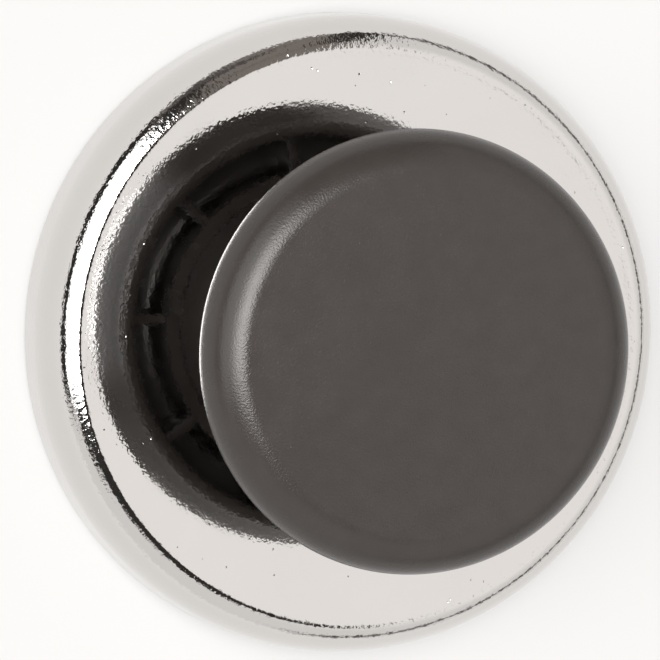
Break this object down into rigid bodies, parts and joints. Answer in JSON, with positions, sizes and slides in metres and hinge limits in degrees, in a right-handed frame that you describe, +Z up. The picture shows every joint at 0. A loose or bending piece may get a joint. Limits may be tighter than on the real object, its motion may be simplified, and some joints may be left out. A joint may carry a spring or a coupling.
{
  "type": "security tag detacher",
  "caption": "Hand-held magnetic tag detacher: plated steel pot with a ring magnet and a tag nest in its open face, and a black mushroom knob on a neck to hold it by.",
  "frame": {"origin": "centre of the rubber pad's lower face, where the tool stands on the counter and meets the tag", "axes": "+Z runs up the common axis from the working face to the crown of the knob; +X and +Y lie in the working face, and one outer rib of the knob lies 18 degrees from +X towards +Y"},
  "size_m": [0.065, 0.065, 0.0332],
  "materials": {
    "plated_steel": "bright nickel-chrome plating over drawn steel, with a faint orange peel",
    "magnet": null,
    "resin": "cast epoxy potting, dull black",
    "stainless": "rolled stainless sheet",
    "pad_rubber": "matt black rubber sheet",
    "pole_steel": "turned and zinc-plated mild steel",
    "nest_plastic": "moulded acetal, fine matt",
    "screw_steel": "stainless countersunk socket screw",
    "washer_steel": "hardened and zinc-plated spring steel",
    "fibre": "vulcanised fibre, dull",
    "brass": "turned brass",
    "neck_plastic": "black glass-filled plastic, finely grained",
    "knob_plastic": "black glass-filled plastic with a fine spark-eroded grain"
  },
  "bodies": {
    "root": {"pot_shell": "plated_steel", "ring_magnet": "magnet", "potting_ring": "resin", "cover_plate": "stainless", "face_pad": "pad_rubber", "pole_piece": "pole_steel", "tag_nest": "nest_plastic", "tie_screw": "screw_steel", "toothed_washer": "washer_steel", "neck_gasket": "fibre", "threaded_insert": "brass", "knob_neck": "neck_plastic", "knob_cap": "knob_plastic"}
  },
  "joints": []
}
